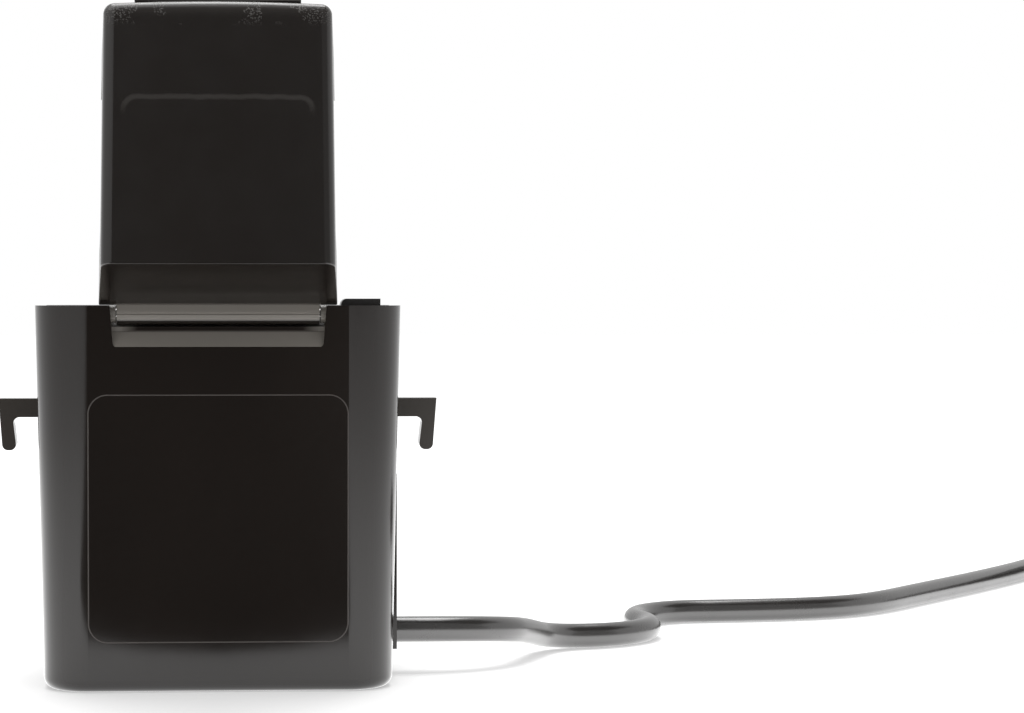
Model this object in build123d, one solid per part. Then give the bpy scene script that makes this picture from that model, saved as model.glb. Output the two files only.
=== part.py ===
from build123d import *
import math
import os

os.makedirs("parts", exist_ok=True)

# Split-core current transformer, in millimetres.
# +X runs along the conductor that it clamps round, +Y away from the hinge, +Z up from its base.
# The lid is drawn closed, and turned about the hinge pin to the open position last.

# Conductor window
window_width = 24.0  # across the conductor
window_height = 24.0
channel_depth = 14.2  # what the body holds of the window's height
skin = 1.0  # wall between the window and the core

# Case
rim_width = 54.0
rim_depth = 46.0
case_height = 56.5
case_draft = 1.26  # degrees a side
case_corner_radius = 8.0
case_edge_radius = 1.8
case_wall = 2.0
fit_gap = 0.1  # a seated piece to its neighbour
run_gap = 0.3  # a moving piece to a fixed one
overrun = 2.0  # how far a cut runs past the face that it opens

# Top cover
cover_thickness = 1.8
cover_pocket_wall = 1.2

# Core
stack_width = 28.0  # along the conductor
strip_thickness = 4.6
core_slot = 0.05  # a pole face below its rim
pole_gap = 0.1  # between the pole faces, lid closed
core_drop = 16.7  # from the channel's floor to the yoke
core_round = 1.6  # outer corners of the bent strip
core_fit = 0.15

# Coil former, winding and tape
former_wall = 1.0
flange_thickness = 1.2
flange_margin = 1.1  # flange past the winding
winding_build = 6.0
winding_round = 5.0
tape_thickness = 0.3

# Burden board
board_length = 30.0
board_width = 25.0
board_thickness = 1.2
board_height = 2.2  # underside above the case's floor
board_shift = -5.0
board_post_radius = 1.6
board_post_inset = 2.6
resistor_length = 6.3
resistor_width = 3.2
resistor_height = 0.9
resistor_cap_length = 0.7
resistor_spacing = 5.2
diode_length = 4.6
diode_radius = 1.05
diode_band = 0.8
diode_spacing = 3.4
diode_core_gap = 1.2  # diode to the cord's wires
lead_radius = 0.35
lead_spacing = 15.0

# Cord and its outlet
cord_diameter = 4.0
cord_core_diameter = 1.3
outlet_height = 6.5
outlet_boss_width = 15.0
outlet_boss_low = 4.4
outlet_boss_top = 31.0
outlet_boss_reach = 27.0  # its face, from the middle of the case
grommet_radius = 3.1
grommet_flange_radius = 4.2
grommet_flange = 1.1
clamp_thickness = 0.9
clamp_width = 2.5
clamp_head = 3.4
jacket_inside = 12.5  # jacket from the outlet's face inwards
core_wire_drop = 0.25

# Tie hooks on the left and right faces
hook_pocket = 4.6  # wall to the leg, for a cable tie
hook_width = 4.0
hook_arm = 2.85
hook_leg = 2.15
hook_drop = 7.9  # arm's top to the leg's tip
hook_lean = 0.6  # the leg's tip leans in by this
hook_round = 0.9
hook_root_overlap = 1.2

# Hinge
pin_radius = 0.75
pin_back = 2.1  # pin behind the front of the rim
pin_below = 1.2  # pin below the rim
pin_seat = 2.6  # pin end in the cover
knuckle_radius = 1.6
knuckle_clearance = 0.05
knuckle_groove_radius = 0.17  # moulding line along the knuckle
knuckle_collar_gap = 0.15  # knuckle to the collar at each end of it
scoop_width = 31.8
scoop_side_room = 1.15  # scoop's side to the knuckle's end
scoop_depth = 6.1  # down the front face
scoop_ramp_height = 2.4
scoop_wall_back = 1.85  # upright wall behind the rim's front
scoop_side_lean = 0.65
scoop_round = 0.7
open_angle = 72.0  # lid from closed to the stop

# Lid
lid_side_room = 1.65  # core to the lid's side wall
lid_length = 40.6
lid_front = 20.0  # hinge end, from the middle of the case
lid_height = 17.8
lid_side_draft = 3.2
lid_end_draft = 1.0
lid_edge_radius = 1.6
lid_hinge_radius = 0.2  # edges of the hinge end
lid_end_bow = 0.5  # crown of the free end, across the lid
lid_wall = 1.7
parting_gap = 0.2
spring_strip = 0.25
spring_length = 18.0
spring_width = 12.0

# Latch
latch_width = 24.0
latch_thickness = 1.5
latch_reach = 25.0  # length of the tongue
latch_stand = 0.25  # tongue off the lid's end
latch_barb = 0.75
latch_barb_height = 2.4
latch_tab = 1.7
latch_tab_height = 2.0
latch_window = 2.3  # space round the tongue in the case
latch_root = 1.6  # tongue's root below the lid's top
latch_root_radius = 1.2

# Filling plug on the right shoulder
plug_length = 5.8
plug_width = 9.0
plug_height = 1.0
plug_offset = 20.9
plug_stem = 3.0
plug_stem_radius = 1.9

# Coil of put-away cord
coil_turns = 2.25  # of each layer
coil_climb = 0.5  # turns from the lower layer to the upper
coil_steps = 40  # points a turn, for the least gap
heading_step = 0.001  # turns
coil_outer_radius = 27.6
coil_pitch = 4.5
coil_layer = 4.5
coil_middle = (198.0, 124.0)
tie_thickness = 0.4
tie_width = 6.0
tie_gap = 0.1
tie_round = 1.6

# Cord's route from the outlet to the coil, and from the coil to its stripped end
cord_radius = cord_diameter / 2
coil_floor = cord_radius + tie_thickness + tie_gap
cord_route = [
    (27.0, 0.0, 6.5),
    (36.0, 0.0, 6.5),
    (45.0, 5.2, 5.8),
    (49.0, 13.5, 4.6),
    (54.0, 24.8, 2.2),
    (66.4, 28.0, 2.0),
    (74.2, 38.4, 2.0),
    (70.8, 51.1, 2.0),
    (78.6, 61.5, 2.0),
    (93.0, 62.6, 2.0),
    (107.0, 65.0, 2.0),
    (118.5, 71.5, 2.0),
    (132.0, 89.0, 2.0),
    (147.0, 108.0, 2.0),
    (160.0, 125.8, 2.0),
    (167.0, 136.5, 2.0),
    (175.5, 147.0, 2.3),
    (184.0, 151.96, 2.5),
    (194.0, 151.7, 2.5),
]
tail_route = [
    (202.0, 151.7, 7.0),
    (209.0, 151.88, 7.0),
    (219.5, 149.0, 5.2),
    (230.0, 140.5, 2.4),
    (236.5, 128.0, 2.0),
    (238.5, 116.0, 2.0),
]
tail_core_length = 24.0
tail_core_spread_share = 0.14
tail_core_stations_share = [(0, 0, 0), (0.25, 0, 0), (0.6, 0.55, 0.6), (1, 1, 1)]
bend_share = 0.45  # of the shorter run, up to a bend's arc
ferrule_length = 8.0
ferrule_radius = 0.75
ferrule_collar_radius = 1.25
ferrule_collar_length = 2.6

# Sizes that follow
rim_half_width = rim_width / 2
rim_half_depth = rim_depth / 2
draft_slope = math.tan(math.radians(case_draft))
half_window = window_width / 2
channel_floor = case_height - channel_depth
recess_depth = window_height - channel_depth
leg_inner = half_window + skin
leg_outer = leg_inner + strip_thickness
half_stack = stack_width / 2
yoke_low = channel_floor - core_drop - strip_thickness
yoke_high = yoke_low + strip_thickness
pole_low = case_height - 2 * core_slot
former_half = leg_inner - core_fit
pin_y = pin_back - rim_half_depth
pin_z = case_height - pin_below
lid_low = case_height + parting_gap
lid_back = lid_length - lid_front
lid_top = lid_low + lid_height
board_low = case_wall + board_height
board_top = board_low + board_thickness
scoop_floor = case_height - scoop_depth
knuckle_width = scoop_width - 2 * scoop_side_room
coil_end = 2 * coil_turns + coil_climb
lid_width = stack_width + 2 * (lid_wall + lid_side_room)
hook_wall = rim_half_width - channel_depth * draft_slope
hook_reach = hook_wall + hook_pocket + hook_leg
board_core_end = board_shift + board_length / 2 - board_post_inset - 2 * cord_core_diameter


def case_half(z, half_rim, inset):
    """Half the case's width or depth at a height, less an inset."""
    return half_rim - (case_height - z) * draft_slope - inset


def case_form(inset, low, high):
    """The case's drafted block between two heights, drawn in by an inset."""
    width = 2 * case_half(low, rim_half_width, inset)
    depth = 2 * case_half(low, rim_half_depth, inset)
    radius = case_corner_radius - (case_height - low) * draft_slope - inset
    outline = Plane.XY.offset(low) * RectangleRounded(width, depth, radius)
    return extrude(outline, amount=high - low, taper=-case_draft)


def block(x_low, x_high, y_low, y_high, z_low, z_high):
    """A box given by its limits."""
    size = Box(x_high - x_low, y_high - y_low, z_high - z_low)
    return Pos((x_low + x_high) / 2, (y_low + y_high) / 2, (z_low + z_high) / 2) * size


def rod_x(radius, x_low, x_high, y, z):
    """A round rod along X."""
    rod = Rot(0, 90, 0) * Cylinder(radius, x_high - x_low)
    return Pos((x_low + x_high) / 2, y, z) * rod


def across(points, half_width):
    """A closed outline in Y and Z, carried along X to both sides of the middle."""
    face = make_face(Polyline([(0, y, z) for y, z in points], close=True))
    return extrude(face, amount=half_width, dir=(1, 0, 0), both=True)


def along(points, half_depth):
    """A closed outline in X and Z, carried along Y to both sides of the middle."""
    face = make_face(Polyline([(x, 0, z) for x, z in points], close=True))
    return extrude(face, amount=half_depth, dir=(0, 1, 0), both=True)


def opened(piece):
    """A lid piece turned from closed to open about the hinge pin."""
    return Pos(0, pin_y, pin_z) * Rot(open_angle, 0, 0) * Pos(0, -pin_y, -pin_z) * piece


def hinge_scoop():
    """The ramped relief under the knuckle, narrower at its foot, and the knuckle's own room."""
    half = scoop_width / 2
    top = case_height + overrun
    outline = [
        (-half, top),
        (half, top),
        (half - scoop_side_lean, scoop_floor),
        (scoop_side_lean - half, scoop_floor),
    ]
    bed = along(outline, rim_half_depth)
    bed = Pos(0, -rim_half_depth, 0) * bed
    feet = bed.edges().filter_by(Axis.Y).group_by(Axis.Z)[0]
    bed = fillet(feet, scoop_round)
    front = -rim_half_depth - overrun
    wall_y = scoop_wall_back - rim_half_depth
    points = [
        (front, scoop_floor),
        (-case_half(scoop_floor, rim_half_depth, 0), scoop_floor),
        (wall_y, scoop_floor + scoop_ramp_height),
        (wall_y, top),
        (front, top),
    ]
    ramp = across(points, half)
    room = rod_x(knuckle_radius + run_gap, -half, half, pin_y, pin_z)
    over_room = block(
        -half, half, pin_y - knuckle_radius, pin_y + knuckle_radius + run_gap, pin_z, top
    )
    return bed & (ramp + room + over_room)


def latch_opening(grow):
    """Room for the latch's tongue in the rear wall."""
    half = latch_width / 2 + run_gap + grow
    floor = latch_tip_z() - latch_window - grow
    return block(-half, half, lid_back - run_gap, rim_half_depth + overrun, floor, case_height + overrun)


def latch_tip_z():
    """Height of the latch's tip, lid closed."""
    return lid_top - latch_root - latch_reach


def tie_hook(side):
    """An L-shaped tie hook: an arm off the wall and a leg that leans in towards its tip."""
    wall_x = case_half(channel_floor, rim_half_width, hook_root_overlap)
    tip_z = channel_floor - hook_drop
    points = [
        (side * wall_x, channel_floor),
        (side * hook_reach, channel_floor),
        (side * (hook_reach - hook_lean), tip_z),
        (side * (hook_reach - hook_lean - hook_leg), tip_z),
        (side * (hook_reach - hook_leg), channel_floor - hook_arm),
        (side * wall_x, channel_floor - hook_arm),
    ]
    hook = along(points, hook_width / 2)
    edges = hook.edges().filter_by(Axis.Y)
    low = [e for e in edges if e.center().Z < channel_floor - fit_gap]
    leg = [e for e in low if abs(e.center().X) > hook_reach - hook_leg - hook_lean - fit_gap]
    return fillet(leg, hook_round)


def case_body():
    """Drafted outer case with its hooks, cord outlet boss, board posts and openings."""
    shell = case_form(0, 0, case_height)
    shell = fillet(shell.faces().sort_by(Axis.Z)[0].edges(), case_edge_radius)
    boss = block(
        case_half(outlet_boss_low, rim_half_width, case_wall),
        outlet_boss_reach,
        -outlet_boss_width / 2,
        outlet_boss_width / 2,
        outlet_boss_low,
        outlet_boss_top,
    )
    shell += boss + tie_hook(1) + tie_hook(-1)
    shell -= case_form(case_wall, case_wall, case_height + overrun)
    shell -= block(
        -hook_reach, hook_reach, -half_window, half_window, channel_floor, case_height + overrun
    )
    shell -= hinge_scoop()
    shell -= latch_opening(0)
    shell -= rod_x(grommet_radius, 0, outlet_boss_reach + overrun, 0, outlet_height)
    pin_half = scoop_width / 2 + pin_seat
    shell -= rod_x(pin_radius, -pin_half, pin_half, pin_y, pin_z)
    shell -= pin_collar(1) + pin_collar(-1)
    for x in (-1, 1):
        for y in (-1, 1):
            shell += board_post(x, y)
    return shell


def board_post(side_x, side_y):
    """A post that carries a corner of the board."""
    x = board_shift + side_x * (board_length / 2 - board_post_inset)
    y = side_y * (board_width / 2 - board_post_inset)
    return Pos(x, y, case_wall + board_height / 2) * Cylinder(board_post_radius, board_height)


def pole_windows(low, high, grow):
    """The two slots that the core's legs pass through."""
    slots = []
    for side in (-1, 1):
        edges = sorted((side * (leg_inner - grow), side * (leg_outer + grow)))
        slots.append(block(-half_stack - grow, half_stack + grow, *edges, low, high))
    return slots[0] + slots[1]


def top_cover():
    """Closes the case: rim plate, conductor channel, hinge block and latch pocket."""
    form = case_form(case_wall + fit_gap, channel_floor - skin, case_height)
    plate_low = case_height - cover_thickness
    half = half_window + skin
    plate = block(
        -rim_half_width, rim_half_width, -rim_half_depth, rim_half_depth, plate_low, case_height
    )
    channel = block(
        -rim_half_width, rim_half_width, -half, half, channel_floor - skin, case_height
    )
    wall_y = leg_outer + core_fit
    hinge_half = scoop_width / 2 + pin_seat
    hinge_block = block(
        -hinge_half,
        hinge_half,
        -rim_half_depth,
        -wall_y,
        scoop_floor - cover_pocket_wall,
        case_height,
    )
    latch_half = latch_width / 2 + run_gap + cover_pocket_wall
    latch_low = latch_tip_z() - latch_window - cover_pocket_wall
    latch_block = block(-latch_half, latch_half, wall_y, rim_half_depth, latch_low, case_height)
    cover = form & (plate + channel + hinge_block + latch_block)
    cover -= block(
        -rim_half_width,
        rim_half_width,
        -half_window,
        half_window,
        channel_floor,
        case_height + overrun,
    )
    cover -= pole_windows(channel_floor - skin - overrun, case_height + overrun, core_fit)
    cover -= hinge_scoop()
    cover -= latch_opening(0)
    cover -= latch_catch_relief()
    cover += pin_collar(1) + pin_collar(-1)
    cover -= rod_x(pin_radius, -hinge_half, hinge_half, pin_y, pin_z)
    cover -= Pos(plug_offset, 0, 0) * plug_hole()
    return cover


def pin_collar(side):
    """A short collar round the pin, between the scoop's side and the lid's knuckle."""
    near = side * (knuckle_width / 2 + knuckle_collar_gap)
    far = side * scoop_width / 2
    return rod_x(knuckle_radius - run_gap, min(near, far), max(near, far), pin_y, pin_z)


def latch_catch_relief():
    """The undercut that the latch's barb snaps into."""
    half = latch_width / 2 + run_gap
    front = lid_back - run_gap - latch_barb - run_gap
    low = latch_tip_z() - latch_window
    high = latch_tip_z() + latch_barb_height + 2 * run_gap
    return block(-half, half, front, lid_back, low, high)


def plug_hole():
    """The filling hole in the right shoulder, centred on X 0."""
    y = plug_middle_y()
    depth = plug_stem + overrun
    return Pos(0, y, case_height - depth / 2 + overrun) * Cylinder(plug_stem_radius, depth + overrun)


def plug_middle_y():
    """The filling plug stands between the channel and the rear rim."""
    return -(half_window + skin + case_half(case_height, rim_half_depth, case_wall)) / 2


def core_half(side):
    """Half of the lower core: a leg up to its pole face and half the yoke under the coil."""
    points = [
        (side * core_fit / 2, yoke_low),
        (side * leg_outer, yoke_low),
        (side * leg_outer, pole_low),
        (side * leg_inner, pole_low),
        (side * leg_inner, yoke_high),
        (side * core_fit / 2, yoke_high),
    ]
    half = across(points, half_stack)
    corner = half.edges().filter_by(Axis.X).filter_by_position(Axis.Z, yoke_low, yoke_low)
    outer = [e for e in corner if abs(e.center().Y) > leg_inner]
    return fillet(outer, core_round)


def yoke_sleeve(grow, half_length, rounding):
    """A block round the yoke, grown evenly, along Y."""
    middle = (yoke_low + yoke_high) / 2
    width = stack_width + 2 * (core_fit + grow)
    height = strip_thickness + 2 * (core_fit + grow)
    sleeve = Pos(0, 0, middle) * Box(width, 2 * half_length, height)
    if rounding:
        sleeve = fillet(sleeve.edges().filter_by(Axis.Y), rounding)
    return sleeve


def coil_former():
    """Former that the winding is laid on: a sleeve on the yoke and a flange at each end."""
    flange_grow = former_wall + winding_build + flange_margin
    flange = yoke_sleeve(flange_grow, former_half, winding_round)
    flange -= yoke_sleeve(flange_grow + overrun, former_half - flange_thickness, 0)
    sleeve = yoke_sleeve(former_wall, former_half, former_wall)
    return flange + sleeve - yoke_sleeve(0, former_half + overrun, 0)


def secondary_winding():
    """The wound copper between the flanges."""
    half = former_half - flange_thickness - fit_gap
    wound = yoke_sleeve(former_wall + winding_build, half, winding_round)
    return wound - yoke_sleeve(former_wall + fit_gap, half + overrun, former_wall)


def winding_tape():
    """The tape round the winding."""
    half = former_half - flange_thickness - fit_gap
    grow = former_wall + winding_build + fit_gap
    outer = yoke_sleeve(grow + tape_thickness, half, winding_round + tape_thickness)
    return outer - yoke_sleeve(grow, half + overrun, winding_round)


def burden_board():
    """The circuit board on its four posts."""
    board = block(
        board_shift - board_length / 2,
        board_shift + board_length / 2,
        -board_width / 2,
        board_width / 2,
        board_low,
        board_top,
    )
    return fillet(board.edges().filter_by(Axis.Z), board_thickness)


def burden_resistors():
    """Two flat resistors side by side, each a body with raised end caps."""
    solids = []
    for side in (-1, 1):
        body = Box(resistor_length - 2 * resistor_cap_length, resistor_width, resistor_height)
        caps = Box(resistor_length, resistor_width, resistor_height - fit_gap)
        chip = body + caps
        x = board_shift - resistor_length / 2
        y = side * resistor_spacing / 2
        solids.append(Pos(x, y, board_top + resistor_height / 2) * chip)
    return Compound(children=solids)


def clamp_diodes():
    """Two round diodes with a raised cathode band, beside the resistors."""
    solids = []
    for side in (-1, 1):
        high = board_core_end - diode_core_gap
        low = high - diode_length
        y = side * diode_spacing / 2
        z = board_top + diode_radius
        body = rod_x(diode_radius - fit_gap, low, high, y, z)
        band = rod_x(diode_radius, low, low + diode_band, y, z)
        solids.append(body + band)
    return Compound(children=solids)


def winding_leads():
    """The winding's two ends, from the former down to the board."""
    flange_grow = former_wall + winding_build + flange_margin
    top = yoke_low - core_fit - flange_grow
    solids = []
    for side in (-1, 1):
        x = board_shift - board_length / 2 + board_post_inset * 2
        y = side * (former_half - flange_thickness / 2)
        y_board = side * lead_spacing / 2
        middle = (board_top + top) / 2
        path = FilletPolyline(
            (x, y, top), (x, y, middle), (x, y_board, board_top + lead_radius),
            (x, y_board, board_top), radius=lead_radius,
        )
        ring = Plane(origin=path @ 0, z_dir=path % 0) * Circle(lead_radius)
        solids.append(sweep(ring, path=path))
    return Compound(children=solids)


def bush(outer_radius, inner_radius, x_low, x_high):
    """A ring round the cord's outlet."""
    ring = rod_x(outer_radius, x_low, x_high, 0, outlet_height)
    return ring - rod_x(inner_radius, x_low - overrun, x_high + overrun, 0, outlet_height)


def outlet_wall_inside():
    """The inner face of the right wall, at the foot of the grommet."""
    return case_half(outlet_height - grommet_flange_radius, rim_half_width, case_wall)


def cable_grommet():
    """The bush in the outlet, with a flange inside the wall."""
    inside = outlet_wall_inside() - fit_gap
    bore = cord_radius + fit_gap / 2
    sleeve = bush(grommet_radius - fit_gap / 2, bore, inside - grommet_flange, outlet_boss_reach)
    flange = bush(grommet_flange_radius, bore, inside - grommet_flange, inside)
    return sleeve + flange


def cable_clamp():
    """A tie pulled tight on the jacket behind the grommet, so that a tug can't reach the board."""
    high = outlet_wall_inside() - fit_gap - grommet_flange - fit_gap
    low = high - clamp_width
    bore = cord_radius + fit_gap / 2
    ring = bush(bore + clamp_thickness, bore, low, high)
    head_low = outlet_height + bore + fit_gap
    head = block(low, high, -clamp_head / 2, clamp_head / 2, head_low, head_low + clamp_head / 2)
    return ring + head


def cable_inner_end():
    """The jacket from the outlet's face to where it is stripped."""
    return rod_x(
        cord_radius, outlet_boss_reach - jacket_inside, outlet_boss_reach, 0, outlet_height
    )


def cable_cores():
    """The two insulated wires from the jacket's end to the board."""
    solids = []
    start = outlet_boss_reach - jacket_inside
    radius = cord_core_diameter / 2
    for side in (-1, 1):
        y = side * (radius + fit_gap / 2)
        end_x = board_core_end + 2 * cord_core_diameter
        path = FilletPolyline(
            (start, y, outlet_height),
            (start - 2 * cord_core_diameter, y, outlet_height),
            (end_x, y, board_top + radius + core_wire_drop),
            (board_core_end, y, board_top + radius + core_wire_drop / 2),
            radius=cord_core_diameter,
        )
        ring = Plane(origin=path @ 0, z_dir=path % 0) * Circle(radius)
        solids.append(sweep(ring, path=path))
    return Compound(children=solids)


def hinge_pin():
    """The steel pin through the knuckles, its ends in the cover."""
    half = scoop_width / 2 + pin_seat - fit_gap
    pin = rod_x(pin_radius, -half, half, pin_y, pin_z)
    return chamfer(pin.edges().filter_by(GeomType.CIRCLE), pin_radius / 4)


def shoulder_plug():
    """The filling hole's plug: a low pad with a rounded end on a round stem."""
    y = plug_middle_y()
    pad = block(
        plug_offset - plug_length / 2,
        plug_offset + plug_length / 2,
        y - plug_width / 4,
        y + plug_width / 4,
        case_height,
        case_height + plug_height,
    )
    left = pad.edges().filter_by(Axis.Y).group_by(Axis.X)[0].sort_by(Axis.Z)[-1]
    pad = fillet(left, plug_height - fit_gap)
    low = case_height - plug_stem
    stem = Pos(plug_offset, y, (low + case_height) / 2)
    return pad + stem * Cylinder(plug_stem_radius - fit_gap, plug_stem)


def lid_form(inset, low):
    """The lid's block, closed: drafted sides, a crowned free end and rounded edges."""
    side = math.tan(math.radians(lid_side_draft))
    end = math.tan(math.radians(lid_end_draft))
    top = lid_top - inset
    half_low = lid_width / 2 - (low - lid_low) * side - inset
    half_top = lid_width / 2 - (top - lid_low) * side - inset
    front_low = -lid_front + (low - lid_low) * end + inset
    front_top = -lid_front + (top - lid_low) * end + inset
    bow_radius = (lid_width**2 / 4 + lid_end_bow**2) / (2 * lid_end_bow) - inset
    sides = [(-half_low, low), (half_low, low), (half_top, top), (-half_top, top)]
    form = along(sides, lid_length)
    crown = Pos(0, lid_back - inset - bow_radius, 0) * Cylinder(bow_radius, 2 * lid_top)
    form = form & crown
    reach = fit_gap - lid_length
    seen = [e for e in form.edges() if e.center().Z > low + fit_gap and e.center().Y > reach]
    form = fillet(seen, max(lid_edge_radius - inset, fit_gap))
    slab = across(
        [(front_low, low), (lid_length, low), (lid_length, top), (front_top, top)], lid_width
    )
    form = form & slab
    if inset:
        return form
    hinge_end = form.faces().sort_by(Axis.Y)[0].edges()
    return fillet([e for e in hinge_end if e.center().Z > low + fit_gap], lid_hinge_radius)


def knuckle():
    """The lid's hinge knuckle round the pin: a barrel with a fine step, and a web to the lid."""
    half = knuckle_width / 2
    barrel = rod_x(knuckle_radius, -half, half, pin_y, pin_z)
    turn = math.radians(open_angle)
    groove_y = pin_y - knuckle_radius * math.cos(turn)
    groove_z = pin_z + knuckle_radius * math.sin(turn)
    barrel -= rod_x(knuckle_groove_radius, -lid_width, lid_width, groove_y, groove_z)
    web_back = -lid_front + lid_wall / 2
    web = block(-half, half, pin_y, web_back, lid_low - parting_gap / 2, pin_z + knuckle_radius)
    return barrel + web


def lid_recess(low):
    """The lid's share of the conductor window."""
    return block(-lid_width, lid_width, -half_window, half_window, low, lid_low + recess_top())


def recess_top():
    """Height of the recess in the lid above its parting face."""
    return recess_depth - parting_gap


def lid_shell():
    """The lid's outer moulding, with its knuckles, open below."""
    shell = lid_form(0, lid_low)
    shell -= lid_form(lid_wall, lid_low - overrun)
    shell += knuckle()
    shell -= rod_x(pin_radius + knuckle_clearance, -lid_width, lid_width, pin_y, pin_z)
    return shell - lid_recess(lid_low - overrun)


def lid_liner():
    """The lid's inner moulding: parting plate with the pole windows, and the recess's walls."""
    form = lid_form(lid_wall + fit_gap, lid_low)
    half = half_window + skin - core_fit
    high = lid_low + recess_top() + skin
    plate_high = lid_low + cover_thickness - skin / 2
    keep = block(-lid_width, lid_width, -lid_length, lid_length, lid_low, plate_high)
    keep += block(-lid_width, lid_width, -half, half, lid_low, high)
    liner = (form & keep) - lid_recess(lid_low - overrun)
    return liner - pole_windows(lid_low - overrun, lid_top, core_fit)


def upper_core():
    """The lid's half of the core: two legs and a yoke over the window."""
    low = pole_low + pole_gap
    inner_top = lid_low + recess_top() + skin + core_fit
    top = inner_top + strip_thickness
    points = [
        (-leg_outer, low),
        (-leg_inner, low),
        (-leg_inner, inner_top),
        (leg_inner, inner_top),
        (leg_inner, low),
        (leg_outer, low),
        (leg_outer, top),
        (-leg_outer, top),
    ]
    core = across(points, half_stack)
    corners = core.edges().filter_by(Axis.X).group_by(Axis.Z)[-1]
    return fillet(corners, core_round)


def core_spring():
    """The bowed leaf spring between the lid's roof and the upper core."""
    roof = lid_top - lid_wall - fit_gap / 2
    seat = lid_low + recess_top() + skin + core_fit + strip_thickness + fit_gap / 2
    half = spring_length / 2
    bow = ThreePointArc((0, -half, seat), (0, 0, roof - spring_strip), (0, half, seat))
    upper = ThreePointArc(
        (0, half, seat + spring_strip), (0, 0, roof), (0, -half, seat + spring_strip)
    )
    ends = [Line(bow @ 1, upper @ 0), Line(upper @ 1, bow @ 0)]
    face = make_face([bow, upper, *ends])
    return extrude(face, amount=spring_width / 2, dir=(1, 0, 0), both=True)


def latch_clip():
    """The sprung tongue on the lid's free end: root, tongue, inward barb and finger tab."""
    root_z = lid_top - latch_root
    tip = latch_tip_z()
    inner = lid_back + latch_stand
    outer = inner + latch_thickness
    barb_top = tip + latch_barb_height
    points = [
        (inner, root_z),
        (inner, barb_top + latch_barb),
        (inner - latch_barb - latch_stand, barb_top),
        (inner - latch_barb - latch_stand, barb_top - latch_barb),
        (inner, tip),
        (outer + latch_tab, tip),
        (outer + latch_tab, tip + latch_thickness),
        (outer, tip + latch_thickness + latch_tab_height),
        (outer, root_z),
    ]
    clip = across(points, latch_width / 2)
    top = clip.edges().filter_by(Axis.X).group_by(Axis.Z)[-1].sort_by(Axis.Y)[-1]
    return fillet(top, latch_root_radius)


def tube(path, radius):
    """A round solid along a path."""
    ring = Plane(origin=path @ 0, z_dir=path % 0) * Circle(radius)
    return sweep(ring, path=path)


def cord_path(route):
    """Straight runs joined by tangent arcs, each as large as its two runs allow."""
    points = [Vector(*point) for point in route]
    runs = [(b - a).length for a, b in zip(points, points[1:])]
    radii = []
    for number in range(1, len(points) - 1):
        before = points[number] - points[number - 1]
        after = points[number + 1] - points[number]
        half_turn = math.radians(before.get_angle(after)) / 2
        shorter = min(runs[number - 1], runs[number])
        radii.append(bend_share * shorter / math.tan(half_turn))
    print("cord radii", [round(radius, 1) for radius in radii])
    return FilletPolyline(*points, radius=radii)


def coil_point(turn):
    """A point and heading on the coil, by turns: in on the lower layer, out on the upper."""
    inner = min(turn, coil_end - turn)
    climb = min(max((turn - coil_turns) / coil_climb, 0), 1)
    rise = climb * climb * (3 - 2 * climb)
    radius = coil_outer_radius - coil_pitch * inner
    angle = math.pi / 2 - 2 * math.pi * turn
    x = coil_middle[0] + radius * math.cos(angle)
    y = coil_middle[1] + radius * math.sin(angle)
    return Vector(x, y, coil_floor + coil_layer * rise)


def coil_heading(turn):
    """The coil's heading at a point, from two points close by."""
    return (coil_point(turn + heading_step) - coil_point(turn - heading_step)).normalized()


def coil_path():
    """The coil's line: quarter turns, each of two arcs that meet smoothly, and straight ends."""
    quarters = round(coil_end * 4)
    turns = [coil_end * number / quarters for number in range(quarters + 1)]
    stops = [coil_point(turn) for turn in turns]
    ways = [coil_heading(turn) for turn in turns]
    edges = [Line(stops[0] - ways[0] * cord_diameter, stops[0])]
    for a, b, way_a, way_b in zip(stops, stops[1:], ways, ways[1:]):
        span = b - a
        both = way_a + way_b
        bend = 2 * (1 - way_a.dot(way_b))
        reach = span.dot(both)
        arm = (math.sqrt(reach**2 + bend * span.dot(span)) - reach) / bend
        middle = (a + b + (way_a - way_b) * arm) / 2
        first = TangentArc(a, middle, tangent=way_a)
        edges.append(first)
        edges.append(TangentArc(middle, b, tangent=first % 1))
    edges.append(Line(stops[-1], stops[-1] + ways[-1] * cord_diameter))
    return Wire([edge.edge() for edge in edges])


def coil_gap(path):
    """The least gap between the coil's loops: points over half a turn apart, less the cord."""
    count = round(coil_end * coil_steps)
    points = [path @ (number / count) for number in range(count + 1)]
    gaps = [
        (b - a).length
        for number, a in enumerate(points)
        for b in points[number + coil_steps // 2 :]
    ]
    return min(gaps) - cord_diameter


def coil_tie():
    """A flat band round the coil's bundle, at the side of the coil nearest the view."""
    middle_x, middle_y = coil_middle
    inner_radius = coil_outer_radius - coil_pitch * coil_end / 2
    outer_radius = coil_outer_radius - coil_pitch / 2
    bow = tie_width**2 / 8 / inner_radius
    y_high = middle_y - inner_radius + cord_radius + bow + tie_gap
    y_low = middle_y - outer_radius - cord_radius - tie_gap
    z_low = tie_thickness
    z_high = coil_floor + coil_layer + cord_radius + tie_gap
    half = tie_width / 2
    band = block(
        middle_x - half,
        middle_x + half,
        y_low - tie_thickness,
        y_high + tie_thickness,
        0,
        z_high + tie_thickness,
    )
    band = fillet(band.edges().filter_by(Axis.X), tie_round + tie_thickness)
    hole = block(
        middle_x - half - overrun, middle_x + half + overrun, y_low, y_high, z_low, z_high
    )
    return band - fillet(hole.edges().filter_by(Axis.X), tie_round)


def tail_frame():
    """Where the jacket ends: the point, the heading and the way to its left."""
    end = Vector(*tail_route[-1])
    heading = (end - Vector(*tail_route[-2])).normalized()
    return end, heading, Vector(0, 0, 1).cross(heading)


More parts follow.
